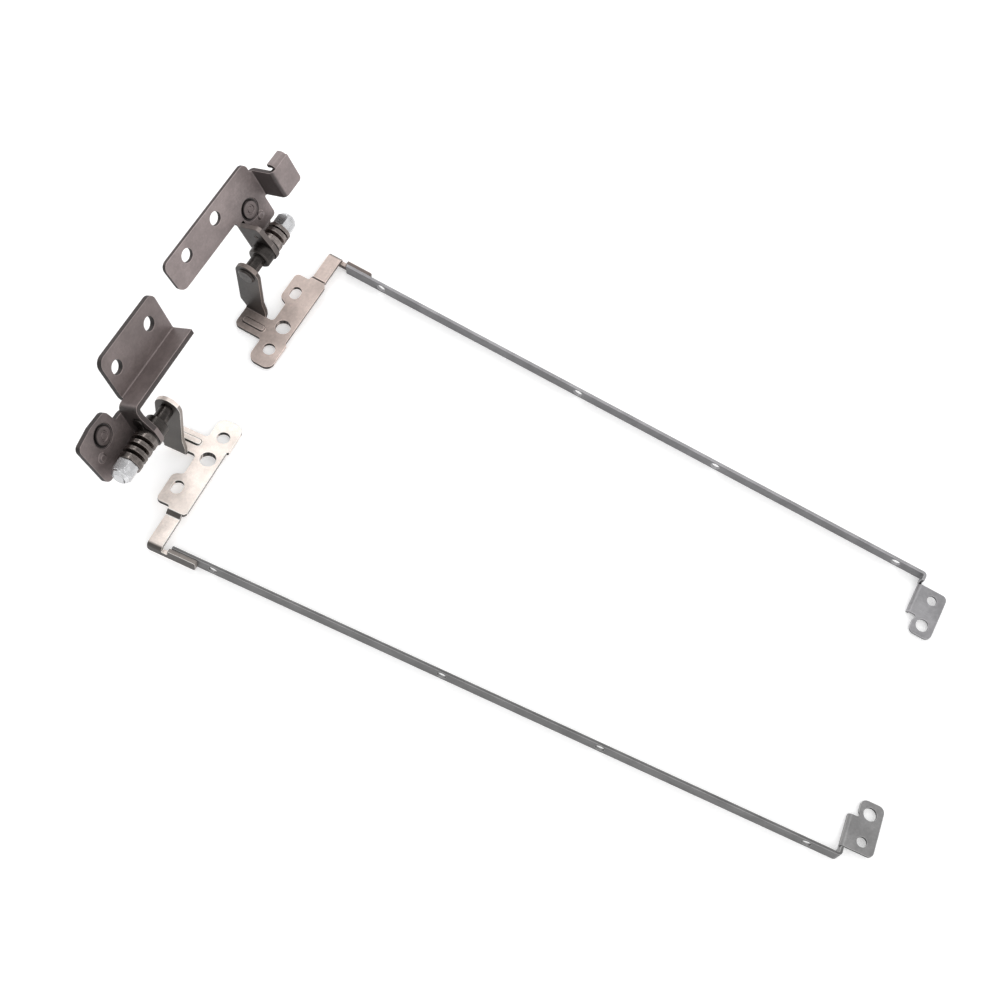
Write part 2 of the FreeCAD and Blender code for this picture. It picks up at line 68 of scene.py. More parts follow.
Colour = Tuple[float, float, float]
Triple = Tuple[float, float, float]
Span = Tuple[float, float]
Socket = bpy.types.NodeSocket


class Side(Enum):
    """Which hinge of the pair a piece belongs to."""

    LEFT = "left"
    RIGHT = "right"

    def node(self, tail: str) -> str:
        """Full node name of a piece of this hinge."""
        return f"{self.value}_{tail}"


class Grain(Enum):
    """Way the rolling marks of a sheet run, as stretch factors along x, y and z."""

    ALONG_X = (0.04, 1.0, 1.0)
    ALONG_Y = (1.0, 0.04, 1.0)


class Layer(Enum):
    """Kind of surface on a stamped piece, with its place in the list of material slots."""

    FACE = 0
    CUT = 1
    RIM = 2


SLOTS: Dict[str, str] = {part["node"]: part["material_slot"] for part in frame["record"]["subparts"]}
BODY_OF: Dict[str, str] = {
    node: body for body, nodes in frame["record"]["behaviour"]["bodies"].items() for node in nodes}
SHAFTS: Dict[Side, dict] = {
    side: joint for side in Side for joint in frame["joints"] if joint["name"] == f"{side.value}_hinge"}


class Graph:
    """Small helper that wires shader nodes of one material."""

    NOISE_SPAN: Span = (0.3, 0.7)
    FACING_SPAN: Span = (0.3, 0.7)

    def __init__(self, material: bpy.types.Material) -> None:
        """Start an empty graph with a shader and its output.

        Args:
            material: the material whose nodes are wired.
        """
        material.use_nodes = True
        self.tree = material.node_tree
        self.tree.nodes.clear()
        self.shader = self.tree.nodes.new("ShaderNodeBsdfPrincipled")
        output = self.tree.nodes.new("ShaderNodeOutputMaterial")
        self.link(self.shader.outputs["BSDF"], output.inputs["Surface"])
        self.place = self.tree.nodes.new("ShaderNodeTexCoord").outputs["Object"]

    def link(self, source: Socket, target: Socket) -> None:
        """Join two sockets."""
        self.tree.links.new(source, target)

    def feed(self, target: Socket, value: object) -> None:
        """Give a socket a constant or the output of another node.

        Args:
            target: the socket to fill.
            value: a number, a tuple or a socket.
        """
        if isinstance(value, bpy.types.NodeSocket):
            self.link(value, target)
        else:
            target.default_value = value

    def drive(self, name: str, value: object) -> None:
        """Give an input of the shader a constant or the output of another node.

        Args:
            name: name of the shader's input.
            value: a number, a tuple or a socket.
        """
        self.feed(self.shader.inputs[name], value)

    def math(self, operation: str, first: object, second: object = 0.0) -> Socket:
        """Arithmetic on two values.

        Args:
            operation: name of the operation.
            first: left value or socket.
            second: right value or socket.

        Returns:
            The result's socket.
        """
        node = self.tree.nodes.new("ShaderNodeMath")
        node.operation = operation
        self.feed(node.inputs[0], first)
        self.feed(node.inputs[1], second)
        return node.outputs[0]

    def vector(self, operation: str, first: object, second: object, output: str = "Vector") -> Socket:
        """Vector arithmetic.

        Args:
            operation: name of the operation.
            first: left vector or socket.
            second: right vector or socket.
            output: which output is wanted.

        Returns:
            The result's socket.
        """
        node = self.tree.nodes.new("ShaderNodeVectorMath")
        node.operation = operation
        self.feed(node.inputs[0], first)
        self.feed(node.inputs[1], second)
        return node.outputs[output]

    def noise(self, place: Socket, size: float, detail: float = 3.0, rough: float = 0.55) -> Socket:
        """Soft noise with features of a given real size.

        Args:
            place: coordinates in metres.
            size: width of the features in metres.
            detail: octaves.
            rough: share of the finer octaves.

        Returns:
            Value socket between 0 and 1.
        """
        node = self.tree.nodes.new("ShaderNodeTexNoise")
        node.inputs["Scale"].default_value = 1.0 / size
        node.inputs["Detail"].default_value = detail
        node.inputs["Roughness"].default_value = rough
        self.link(place, node.inputs["Vector"])
        return node.outputs["Fac"]

    def between(self, value: Socket, span: Span, start: float, end: float) -> Socket:
        """Map a range of a value onto another, held at its ends.

        Args:
            value: the value to map.
            span: values that give start and end.
            start: first result.
            end: last result.

        Returns:
            Mapped value's socket.
        """
        node = self.tree.nodes.new("ShaderNodeMapRange")
        smooth_range(node, span, (start, end))
        self.link(value, node.inputs["Value"])
        return node.outputs["Result"]

    def shared(self, first: Socket, second: Socket, share: float) -> Socket:
        """Sum of two values whose weights make one.

        Args:
            first: first value.
            second: second value.
            share: weight of the first.

        Returns:
            The sum's socket.
        """
        rest = self.math("MULTIPLY", second, 1.0 - share)
        return self.math("ADD", self.math("MULTIPLY", first, share), rest)

    def blend(self, share: Socket, first: object, second: object) -> Socket:
        """Mix two colours.

        Args:
            share: 0 for the first, 1 for the second.
            first: colour or socket.
            second: colour or socket.

        Returns:
            Mixed colour's socket.
        """
        node = self.tree.nodes.new("ShaderNodeMix")
        node.data_type = "RGBA"
        self.link(share, node.inputs[0])
        self.feed(node.inputs[6], opaque(first))
        self.feed(node.inputs[7], opaque(second))
        return node.outputs[2]

    def dim(self, colour: Socket, share: Socket) -> Socket:
        """Colour times a number.

        Args:
            colour: the colour's socket.
            share: factor of its light that is left.

        Returns:
            The dimmed colour's socket.
        """
        node = self.tree.nodes.new("ShaderNodeVectorMath")
        node.operation = "SCALE"
        self.link(colour, node.inputs[0])
        self.link(share, node.inputs["Scale"])
        return node.outputs["Vector"]

    def from_axis(self, point: Triple, way: Triple) -> Tuple[Socket, Socket]:
        """Place of the surface as seen from a straight axis.

        Args:
            point: a point on the axis, in metres.
            way: unit vector along the axis.

        Returns:
            Sockets of the way along the axis and of the distance from it.
        """
        arm = self.vector("SUBTRACT", self.place, point)
        along = self.vector("DOT_PRODUCT", arm, way, "Value")
        return along, self.vector("LENGTH", self.vector("CROSS_PRODUCT", arm, way), (0, 0, 0), "Value")

    def facing(self, way: Triple) -> Socket:
        """How squarely a surface stands across a direction.

        Args:
            way: unit vector of the direction.

        Returns:
            0 where the surface runs along the direction, 1 where it stands across it.
        """
        normal = self.tree.nodes.new("ShaderNodeNewGeometry").outputs["True Normal"]
        across = self.math("ABSOLUTE", self.vector("DOT_PRODUCT", normal, way, "Value"))
        return self.between(across, self.FACING_SPAN, 0.0, 1.0)

    def bump(self, height: Socket, depth: float, strength: float, under: Optional[Socket] = None) -> Socket:
        """Relief from a height value.

        Args:
            height: value between 0 and 1.
            depth: real depth in metres.
            strength: share of the relief that shows.
            under: normal of a coarser relief below it.

        Returns:
            Normal socket.
        """
        node = self.tree.nodes.new("ShaderNodeBump")
        node.inputs["Strength"].default_value = strength
        node.inputs["Distance"].default_value = depth
        self.link(height, node.inputs["Height"])
        if under is not None:
            self.link(under, node.inputs["Normal"])
        return node.outputs["Normal"]


def smooth_range(node: bpy.types.Node, span: Span, result: Span) -> None:
    """Set a range node to map one span smoothly onto another.

    Args:
        node: the range node.
        span: span of the value that comes in.
        result: span of the value that goes out.
    """
    node.interpolation_type = "SMOOTHSTEP"
    for name, number in zip(("From Min", "From Max", "To Min", "To Max"), (*span, *result)):
        node.inputs[name].default_value = number


def opaque(colour: object) -> object:
    """Colour with full alpha, or a socket as it is."""
    return colour if isinstance(colour, bpy.types.NodeSocket) else (*colour, 1.0)


def scaled(colour: Colour, factor: float) -> Colour:
    """Colour made lighter or darker by a factor, held below white."""
    return tuple(min(1.0, channel * factor) for channel in colour)


@dataclass(frozen=True)
class PaintedShade:
    """Painted shade that fades out from a joint, with a painted shadow in the groove at the rim of a rivet's head.
    """

    point: Triple
    way: Triple
    rim: float
    reach: float
    inner_painted_shade: float = 0.62
    groove_painted_shadow: float = 0.20
    groove_half_width: float = 0.50 * MM
    groove_core: float = 0.3
    ragged: float = 3.0 * MM

    def share(self, graph: Graph, mottle: Socket) -> Socket:
        """Share of the light that the painted shade leaves.

        Args:
            graph: graph of the material under the painted shade.
            mottle: noise that makes the painted shade's border ragged.

        Returns:
            Socket of a value up to 1.
        """
        # Painted shade that fades out from the axis, times a painted shadow in the groove at the rim.
        _, out = graph.from_axis(self.point, self.way)
        border = graph.math("ADD", out, graph.math("MULTIPLY", mottle, self.ragged))
        film_and_shade = graph.between(border, (self.rim, self.reach), self.inner_painted_shade, 1.0)
        off_rim = graph.math("ABSOLUTE", graph.math("SUBTRACT", out, self.rim))
        groove_shadow_span = (self.groove_core * self.groove_half_width, self.groove_half_width)
        return graph.math("MULTIPLY", film_and_shade, graph.between(off_rim, groove_shadow_span, self.groove_painted_shadow, 1.0))


class Finish(ABC):
    """Finish of a piece, with one material for each kind of surface."""

    name: str

    def materials(self) -> List[bpy.types.Material]:
        """Materials of all kinds of surface.

        Returns:
            Materials in the order of the slots.
        """
        return [self.surface(layer) for layer in Layer]

    def started(self, layer: Layer) -> Tuple[bpy.types.Material, Graph]:
        """New material of one kind of surface, with nothing wired yet.

        Args:
            layer: face, sheared edge or rounded rim.

        Returns:
            The material and its graph.
        """
        material = bpy.data.materials.new(f"{self.name}_{layer.name.lower()}")
        return material, Graph(material)

    @abstractmethod
    def surface(self, layer: Layer) -> bpy.types.Material:
        """Material of one kind of surface.

        Args:
            layer: face, sheared edge or rounded rim.

        Returns:
            The finished material.
        """


@dataclass(frozen=True)
class PlatedSheet(Finish):
    """Plated and stamped steel sheet with rolling marks, blotches and sheared edges, and painted light on walls,
    edges and rims.
    """

    name: str
    colour: Colour
    roughness: float
    axis_way: Triple
    grain: Grain = Grain.ALONG_X
    blotch: float = 0.17
    # Painted light on sheared edges: below 1 it is painted shade, above 1 painted light.
    cut_painted_light: float = 0.34
    # Painted highlight: factor by which the colour of the rounded rims is made lighter.
    rim_shade: float = 1.5
    # Painted shade: share of the colour left on walls that stand across the shaft.
    wall_painted_shade: float = 0.28
    metal: float = 0.78
    scuff: float = 0.24
    # Painted shade spread from a joint, darkening the colour.
    oil: Optional[PaintedShade] = None
    cut_rough: float = 0.16
    rim_rough: float = -0.06
    smoother: float = 0.07
    rougher: float = 0.09
    patch_size: float = 5.0 * MM
    mottle_size: float = 0.7 * MM
    mark_size: float = 0.16 * MM
    scuff_size: float = 0.45 * MM
    scuff_half: float = 0.014
    blotch_span: Span = (0.32, 0.68)
    scuffed_span: Span = (0.45, 0.62)
    pit_depth: float = 0.02 * MM
    mark_depth: float = 0.008 * MM

    def surface(self, layer: Layer) -> bpy.types.Material:
        """Material of one kind of surface.

        Args:
            layer: face, sheared edge or rounded rim.

        Returns:
            The finished material.
        """
        # Faces keep their colour; sheared edges take painted shade or painted light, rims a painted highlight.
        shade = {Layer.FACE: 1.0, Layer.CUT: self.cut_painted_light, Layer.RIM: self.rim_shade}[layer]
        change = {Layer.FACE: 0.0, Layer.CUT: self.cut_rough, Layer.RIM: self.rim_rough}[layer]
        material, graph = self.started(layer)
        graph.drive("Metallic", self.metal)
        patches = graph.noise(graph.place, self.patch_size, detail=4.0)
        mottle = graph.noise(graph.place, self.mottle_size, detail=5.0, rough=0.65)
        along = graph.vector("MULTIPLY", graph.place, self.grain.value)
        marks = graph.noise(along, self.mark_size, detail=4.0, rough=0.6)
        light = graph.math("ADD", self.scuffs(graph, along, patches), 1.0)
        # Scuffs lighten the colour; the painted shade from a joint darkens it.
        if self.oil is not None:
            light = graph.math("MULTIPLY", light, self.oil.share(graph, mottle))
        graph.drive("Base Color", graph.dim(self.plated_tone_with_painted_shade(graph, shade, patches, mottle), light))
        rough = self.roughness + change
        spread = graph.shared(mottle, marks, 0.5)
        graph.drive("Roughness", graph.between(spread, graph.NOISE_SPAN, rough - self.smoother,
                                               rough + self.rougher))
        pits = graph.bump(mottle, self.pit_depth, 0.35)
        graph.drive("Normal", graph.bump(marks, self.mark_depth, 0.30, pits))
        return material

    def plated_tone_with_painted_shade(self, graph: Graph, shade: float, patches: Socket, mottle: Socket) -> Socket:
        """Blotched colour of the plated sheet, with painted shade on walls that stand across the shaft.

        Args:
            graph: graph of the material.
            shade: factor of the colour.
            patches: noise of the wide blotches.
            mottle: noise of the fine blotches.

        Returns:
            The colour's socket.
        """
        tone = graph.between(graph.shared(patches, mottle, 0.6), self.blotch_span, 0.0, 1.0)
        low, high = 1.0 - self.blotch, 1.0 + self.blotch
        # A lit copy of the colour for faces and a painted shade copy for walls across the shaft.
        tones = [graph.blend(tone, scaled(self.colour, part * low), scaled(self.colour, part * high))
                 for part in (shade, shade * self.wall_painted_shade)]
        return graph.blend(graph.facing(self.axis_way), *tones)

    def scuffs(self, graph: Graph, along: Socket, patches: Socket) -> Socket:
        """Hairline scuffs that run with the rolling marks.

        Args:
            graph: graph of the material.
            along: coordinates stretched along the marks.
            patches: noise that says where the sheet is scuffed.

        Returns:
            Socket of the light that the scuffs add.
        """
        hair = graph.noise(along, self.scuff_size, detail=2.0)
        off_line = graph.math("ABSOLUTE", graph.math("SUBTRACT", hair, 0.5))
        return graph.math("MULTIPLY", graph.between(off_line, (0.0, self.scuff_half), self.scuff, 0.0),
                          graph.between(patches, self.scuffed_span, 0.0, 1.0))


@dataclass(frozen=True)
class TurnedSteel(Finish):
    """Oiled or plated turned steel with fine marks that run round its axis, and rims painted lighter as a painted
    highlight.
    """

    name: str
    colour: Colour
    roughness: float
    axis_point: Triple
    axis_way: Triple
    # How much the oiled patches darken the colour.
    oil: float = 0.35
    # Painted highlight: factor by which the colour of the rounded rims is made lighter.
    rim_shade: float = 1.5
    relief: float = 0.35
    tip_reach: float = 1.0
    tip_colour: Colour = (0.55, 0.55, 0.56)
    tip_fade: float = 0.1 * MM
    smoother: float = 0.06
    rougher: float = 0.10
    lathe_size: float = 0.09 * MM
    lathe_depth: float = 0.006 * MM
    film_size: float = 1.2 * MM
    stain_span: Span = (0.40, 0.62)

    def surface(self, layer: Layer) -> bpy.types.Material:
        """Material of one kind of surface.

        Args:
            layer: face, cut or rounded rim.

        Returns:
            The finished material.
        """
        # Rounded rims are painted lighter as a painted highlight.
        shade = self.rim_shade if layer is Layer.RIM else 1.0
        material, graph = self.started(layer)
        graph.drive("Metallic", 1.0)
        along, out = graph.from_axis(self.axis_point, self.axis_way)
        ring = graph.tree.nodes.new("ShaderNodeCombineXYZ")
        graph.link(along, ring.inputs[0])
        graph.link(out, ring.inputs[1])
        lathe = graph.noise(ring.outputs[0], self.lathe_size, detail=2.0)
        # Noise of the oiled patches.
        film_and_shade = graph.noise(graph.place, self.film_size, detail=4.0)
        stain = graph.between(film_and_shade, self.stain_span, 0.0, 1.0)
        clean = scaled(self.colour, shade)
        oiled = scaled(self.colour, shade * (1.0 - self.oil))
        tip_span = (self.tip_reach - self.tip_fade, self.tip_reach)
        tip = graph.between(graph.math("ABSOLUTE", along), tip_span, 0.0, 1.0)
        graph.drive("Base Color", graph.blend(tip, graph.blend(stain, clean, oiled), self.tip_colour))
        spread = graph.shared(lathe, film_and_shade, 0.6)
        graph.drive("Roughness", graph.between(spread, graph.NOISE_SPAN, self.roughness - self.smoother,
                                               self.roughness + self.rougher))
        graph.drive("Normal", graph.bump(lathe, self.lathe_depth, self.relief))
        return material


@dataclass
class Dresser:
    """Turns a solid into a piece with rounded edges and told-apart surfaces."""

    sharp: float = math.radians(32.0)
    flat: float = math.radians(0.6)
    weld: float = 0.0004 * MM
    through: float = 1.65
    thrown: float = 0.6
    step_in: float = 0.001 * MM
    segments: int = 2

    def dress(self, node: str, finish: Finish, edge: float, sheet: float, body: str) -> bpy.types.Object:
        """Build one piece that stands for a solid.

        Args:
            node: name of the solid.
            finish: finish of the piece.
            edge: radius of the worn edge in metres.
            sheet: thickness of the sheet in metres, or 0 where the whole piece is one surface.
            body: rigid body that carries the piece.

        Returns:
            The new object.
        """
        solid = frame["nodes"][node]
        mesh = self.rounded(solid, edge, sheet)
        for material in finish.materials():
            mesh.materials.append(material)
        piece = bpy.data.objects.new(f"{node}_piece", mesh)
        bpy.context.scene.collection.objects.link(piece)
        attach(piece, body)
        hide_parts(node)
        LOG.info("%s rides on %s with %d faces", piece.name, body, len(mesh.polygons))
        return piece

    def rounded(self, solid: bpy.types.Object, edge: float, sheet: float) -> bpy.types.Mesh:
        """Mesh of a solid with bevelled edges, its faces sorted by kind.

        Args:
            solid: object of the solid.
            edge: width of the bevel in metres.
            sheet: thickness of the sheet in metres, or 0.

        Returns:
            The new mesh.
        """
        work = bmesh.new()
        work.from_mesh(solid.data)
        bmesh.ops.remove_doubles(work, verts=work.verts, dist=self.weld)
        bmesh.ops.dissolve_limit(work, angle_limit=self.flat, verts=work.verts, edges=work.edges)
        inside = BVHTree.FromBMesh(work)
        corners = KDTree(len(work.verts))
        for index, vert in enumerate(work.verts):
            corners.insert(vert.co, index)
        corners.balance()
        edges = [e for e in work.edges if e.is_manifold and e.calc_face_angle(0.0) > self.sharp]
        made = bmesh.ops.bevel(work, geom=edges, offset=edge, offset_type="OFFSET", segments=self.segments,
                               profile=0.5, affect="EDGES", clamp_overlap=False, loop_slide=True,
                               miter_outer="SHARP", miter_inner="SHARP")
        rims = set(made["faces"])
        self.gather(work, inside, corners, self.thrown * edge)
        work.normal_update()
        middles = self.middles(work)
        for face in work.faces:
            face.smooth = True
            face.material_index = self.kind(face, middles.get(face), face in rims, sheet, inside).value
        normals = [self.settled(vert) for vert in work.verts]
        bmesh.ops.triangulate(work, faces=[face for face in work.faces if len(face.verts) > 4])
        mesh = bpy.data.meshes.new(f"{solid.name}_mesh")
        work.to_mesh(mesh)
        work.free()
        mesh.normals_split_custom_set_from_vertices(normals)
        return mesh

    @staticmethod
    def gather(work: bmesh.types.BMesh, inside: BVHTree, corners: KDTree, limit: float) -> None:
        """Bring points that a bevel threw off the solid back to the corner they came from.

        Args:
            work: the bevelled mesh.
            inside: tree of the solid's faces.
            corners: tree of the solid's corners.
            limit: distance from the solid that counts as thrown off, in metres.
        """
        thrown = {vert for vert in work.verts if inside.find_nearest(vert.co)[3] > limit}
        for vert in thrown:
            around = [e.other_vert(vert) for e in vert.link_edges]
            kept = [other.co for other in around if other not in thrown]
            homes = [corners.find(place) for place in kept or [vert.co]]
            vert.co = min(homes, key=lambda home: home[2])[0]

    @staticmethod
    def middles(work: bmesh.types.BMesh) -> Dict[bmesh.types.BMFace, Vector]:
        """Point well inside each face, clear of the holes in it.

        Args:
            work: the mesh.

        Returns:
            Middle of the widest triangle of each face that has any area.
        """
        widest: Dict[bmesh.types.BMFace, Tuple[float, Vector]] = {}
        for loops in work.calc_loop_triangles():
            first, second, third = (loop.vert.co for loop in loops)
            area = (second - first).cross(third - first).length
            if area > widest.get(loops[0].face, (0.0, None))[0]:
                widest[loops[0].face] = (area, (first + second + third) / 3.0)
        return {face: middle for face, (_, middle) in widest.items()}

    @staticmethod
    def settled(vert: bmesh.types.BMVert) -> Vector:
        """Shading normal of a corner, ruled by the widest face that meets there.

        Args:
            vert: the corner.

        Returns:
            Unit normal.
        """
        total = Vector()
        for face in vert.link_faces:
            total += face.normal * face.calc_area()
        return total.normalized() if total.length > 0.0 else vert.normal

    def kind(self, face: bmesh.types.BMFace, middle: Optional[Vector], rim: bool, sheet: float,
             inside: BVHTree) -> Layer:
        """Kind of surface that a face belongs to.

        Args:
            face: the face.
            middle: point inside the face, or None where it has no area.
            rim: whether it is on a rounded edge.
            sheet: thickness of the sheet in metres, or 0.
            inside: tree of the solid's faces, to measure the metal behind the face.

        Returns:
            The kind of surface.
        """
        if rim or middle is None:
            return Layer.RIM
        if sheet == 0.0:
            return Layer.FACE
        start = middle - face.normal * self.step_in
        _, _, _, depth = inside.ray_cast(start, -face.normal)
        return Layer.FACE if depth is not None and depth < self.through * sheet else Layer.CUT


Row = Tuple[str, Finish, float]


class Group(ABC):
    """Pieces of one hinge that are dressed together."""

    side: Side
    edge: float

    @abstractmethod
    def rows(self) -> List[Row]:
        """Tail of the node's name, finish and sheet thickness of each piece."""

    def build(self, dresser: Dresser) -> List[bpy.types.Object]:
        """Dress every piece of the group.

        Args:
            dresser: maker of the pieces.

        Returns:
            The pieces.
        """
        made = []
        for tail, finish, sheet in self.rows():
            node = self.side.node(tail)
            made.append(dresser.dress(node, finish, self.edge, sheet, BODY_OF[node]))
        return made


@dataclass
class LidSide(Group):
    """Lid bracket and rail of one hinge."""

    side: Side
    bracket: PlatedSheet
    rail: PlatedSheet
    bracket_sheet: float = 1.1 * MM
    rail_sheet: float = 0.7 * MM
    edge: float = 0.10 * MM

    def rows(self) -> List[Row]:
        """Tail of the node's name, finish and sheet thickness of each piece."""
        return [("lid_bracket", self.bracket, self.bracket_sheet), ("rail", self.rail, self.rail_sheet)]


@dataclass
class FrictionStack(Group):
    """Shaft, lock plate, washers, disc springs and nut of one hinge."""

    side: Side
    oiled: TurnedSteel
    spring: TurnedSteel
    bright: TurnedSteel
    edge: float = 0.06 * MM

    def rows(self) -> List[Row]:
        """Tail of the node's name, finish and sheet thickness of each piece."""
        head = self.side.node("disc_spring_")
        springs = [node[len(self.side.value) + 1:] for node in SLOTS if node.startswith(head)]
        tails = [("shaft", self.oiled), ("lock_plate", self.oiled), ("friction_washer", self.spring)]
        tails += [(tail, self.spring) for tail in springs]
        tails += [("end_washer", self.spring), ("lock_nut", self.bright)]
        return [(tail, finish, 0.0) for tail, finish in tails]


@dataclass
class BaseSide(Group):
    """Base bracket of one hinge with its rivet."""

    side: Side
    sheet_finish: PlatedSheet
    knuckle_finish: PlatedSheet
    rivet_finish: PlatedSheet
    plate_sheet: float = 1.0 * MM
    knuckle_sheet: float = 1.3 * MM
    edge: float = 0.10 * MM

    def rows(self) -> List[Row]:
        """Tail of the node's name, finish and sheet thickness of each piece."""
        rivet = ("rivet", self.rivet_finish, 0.0)
        if self.side is Side.LEFT:
            return [("base_plate", self.sheet_finish, self.plate_sheet),
                    ("knuckle", self.knuckle_finish, self.knuckle_sheet), rivet]
        return [("base_bracket", self.sheet_finish, self.knuckle_sheet), rivet]


@dataclass(frozen=True)
class SoftBox:
    """Square lamp that points at the middle of the table."""

    name: str
    place: Triple
    size: float
    power: float

    def hang(self) -> None:
        """Put the lamp into the scene."""
        lamp = bpy.data.lights.new(self.name, "AREA")
        lamp.shape = "SQUARE"
        lamp.size = self.size
        lamp.energy = self.power
        holder = bpy.data.objects.new(self.name, lamp)
        holder.location = self.place
        holder.rotation_euler = (-Vector(self.place)).to_track_quat("-Z", "Y").to_euler()
        bpy.context.scene.collection.objects.link(holder)


@dataclass
class Studio:
    """Pale table, soft lamps and the camera of the photograph."""

    eye: Triple = (128.0 * MM, 20.74 * MM, 279.4 * MM)
    aim: Triple = (-7.76 * MM, -10.67 * MM, 0.0)
    roll: float = math.radians(16.92)
    lens: float = 48.31
    sensor: float = 36.0
    clip_start: float = 10.0 * MM
    wall_light: float = 1.0
    roof_light: float = 0.88
    wall_to_roof: Span = (0.35, 0.85)
    floor_glow: float = 0.25
    floor_half: float = 3.0
    floor_rough: float = 0.9
    floor_gloss: float = 0.1
    floor_colour: Colour = (0.93, 0.93, 0.93)
    lamps: Tuple[SoftBox, ...] = (
        SoftBox("key_box", (-1.03, -0.72, 1.60), 0.4, 3.0),
        SoftBox("fill_box", (0.35, 0.45, 0.70), 0.7, 1.4))

    def build(self) -> None:
        """Set up everything around the object."""
        scene = bpy.context.scene
        scene.view_settings.view_transform = "Standard"
        self.floor()
        self.sky(scene)
        for lamp in self.lamps:
            lamp.hang()
        self.camera(scene)

    def floor(self) -> None:
        """Pale table top under the pair."""
        half = self.floor_half
        mesh = bpy.data.meshes.new("floor_mesh")
        mesh.from_pydata([(-half, -half, 0), (half, -half, 0), (half, half, 0), (-half, half, 0)], [],
                         [(0, 1, 2, 3)])
        material = bpy.data.materials.new("pale_floor")
        graph = Graph(material)
        graph.drive("Roughness", self.floor_rough)
        graph.drive("Specular IOR Level", self.floor_gloss)
        graph.drive("Base Color", opaque(self.floor_colour))
        graph.drive("Emission Color", WHITE)
        rays = graph.tree.nodes.new("ShaderNodeLightPath").outputs
        seen = graph.math("MAXIMUM", rays["Is Camera Ray"], rays["Is Glossy Ray"])
        seen = graph.math("MAXIMUM", seen, rays["Is Transmission Ray"])
        graph.drive("Emission Strength", graph.math("MULTIPLY", seen, self.floor_glow))
        mesh.materials.append(material)
        floor = bpy.data.objects.new("floor", mesh)
        bpy.context.scene.collection.objects.link(floor)

    def sky(self, scene: bpy.types.Scene) -> None:
        """White tent with bright walls and a dimmer roof.

        Args:
            scene: the scene that gets the world.
        """
        world = bpy.data.worlds.new("studio")
        world.use_nodes = True
        tree = world.node_tree
        shade = tree.nodes["Background"]
        height = tree.nodes.new("ShaderNodeSeparateXYZ")
        tree.links.new(tree.nodes.new("ShaderNodeTexCoord").outputs["Generated"], height.inputs[0])
        ramp = tree.nodes.new("ShaderNodeMapRange")
        smooth_range(ramp, self.wall_to_roof, (self.wall_light, self.roof_light))
        tree.links.new(height.outputs["Z"], ramp.inputs["Value"])
        tree.links.new(ramp.outputs["Result"], shade.inputs["Strength"])
        shade.inputs["Color"].default_value = WHITE
        scene.world = world

    def camera(self, scene: bpy.types.Scene) -> None:
        """Camera at the photograph's angle.

        Args:
            scene: the scene that gets the camera.
        """
        data = bpy.data.cameras.new("camera")
        data.lens = self.lens
        data.sensor_width = self.sensor
        data.clip_start = self.clip_start
        camera = bpy.data.objects.new("camera", data)
        eye = Vector(self.eye)
        view = (Vector(self.aim) - eye).to_track_quat("-Z", "Y").to_matrix().to_4x4()
        camera.matrix_world = Matrix.Translation(eye) @ view @ Matrix.Rotation(self.roll, 4, "Z")
        scene.collection.objects.link(camera)
        scene.camera = camera


@dataclass(frozen=True)
class Palette:
    """Tones in which the two hinges of the pair differ: lit and shaded copies of the same metals, as painted
    light.
    """

    lid: Colour
    lid_wall_painted_shade: float
    rail: Colour
    rail_cut_painted_light: float
    spring: Colour
    base: Colour
    oily_neck: bool


# Painted light: the right lid is painted lighter than the left, the right rail, springs and base darker.
PALETTES: Dict[Side, Palette] = {
    Side.LEFT: Palette(lid=(0.54, 0.448, 0.408), lid_wall_painted_shade=0.155, rail=(0.33, 0.325, 0.335), rail_cut_painted_light=1.1,
                       spring=(0.30, 0.265, 0.25), base=(0.270, 0.225, 0.220), oily_neck=True),
    Side.RIGHT: Palette(lid=(0.855, 0.765, 0.706), lid_wall_painted_shade=0.078, rail=(0.26, 0.257, 0.257), rail_cut_painted_light=0.62,
                        spring=(0.19, 0.168, 0.157), base=(0.192, 0.158, 0.153), oily_neck=False)}
OILED_STEEL: Colour = (0.06, 0.054, 0.051)
BRIGHT_ZINC: Colour = (0.66, 0.66, 0.67)
KNUCKLE_NICKEL: Colour = (0.14, 0.122, 0.115)
SHEET_ROUGH = 0.42
BASE_ROUGH = 0.40
RIVET_ROUGH = 0.36
OILED_ROUGH = 0.30
SPRING_ROUGH = 0.26
BRIGHT_ROUGH = 0.24
LID_METAL = 0.5
BASE_METAL = 0.4
# Painted shade on the side walls of the rails.
RAIL_WALL_PAINTED_SHADE = 0.54
# Painted light on the sheared edges of the knuckles.
KNUCKLE_CUT_PAINTED_LIGHT = 2.0
# Reach of the painted shade round the rivets.
RIVET_SHADE_REACH = 10.5 * MM
# Painted shade at the neck of a lid bracket: its reach, its depth, and no groove shadow.
NECK_SHADE_REACH = 15.0 * MM
NECK_SHADE = 0.16
NO_GROOVE_SHADOW = 1.0


def shaft_reach(side: Side) -> float:
    """Distance from the middle of the knuckle to the far end of the nut, along the shaft.

    Args:
        side: the hinge that is meant.

    Returns:
        The distance in metres.
    """
    joint = SHAFTS[side]
    middle, way = Vector(joint["pos_m"]), Vector(joint["axis"])
    nut = frame["nodes"][side.node("lock_nut")]
    return max(abs((vert.co - middle).dot(way)) for vert in nut.data.vertices)


def rivet_painted_shade(side: Side) -> PaintedShade:
    """Painted shade round the rivet of one hinge, with a painted shadow in the groove at its rim.

    Args:
        side: the hinge that is meant.

    Returns:
        The film.
    """
    mesh = frame["nodes"][side.node("rivet")].data
    way = max(mesh.polygons, key=lambda face: face.area).normal
    point = sum((vert.co for vert in mesh.vertices), Vector()) / len(mesh.vertices)
    rim = max((vert.co - point).cross(way).length for vert in mesh.vertices)
    return PaintedShade(tuple(point), tuple(way), rim, RIVET_SHADE_REACH)


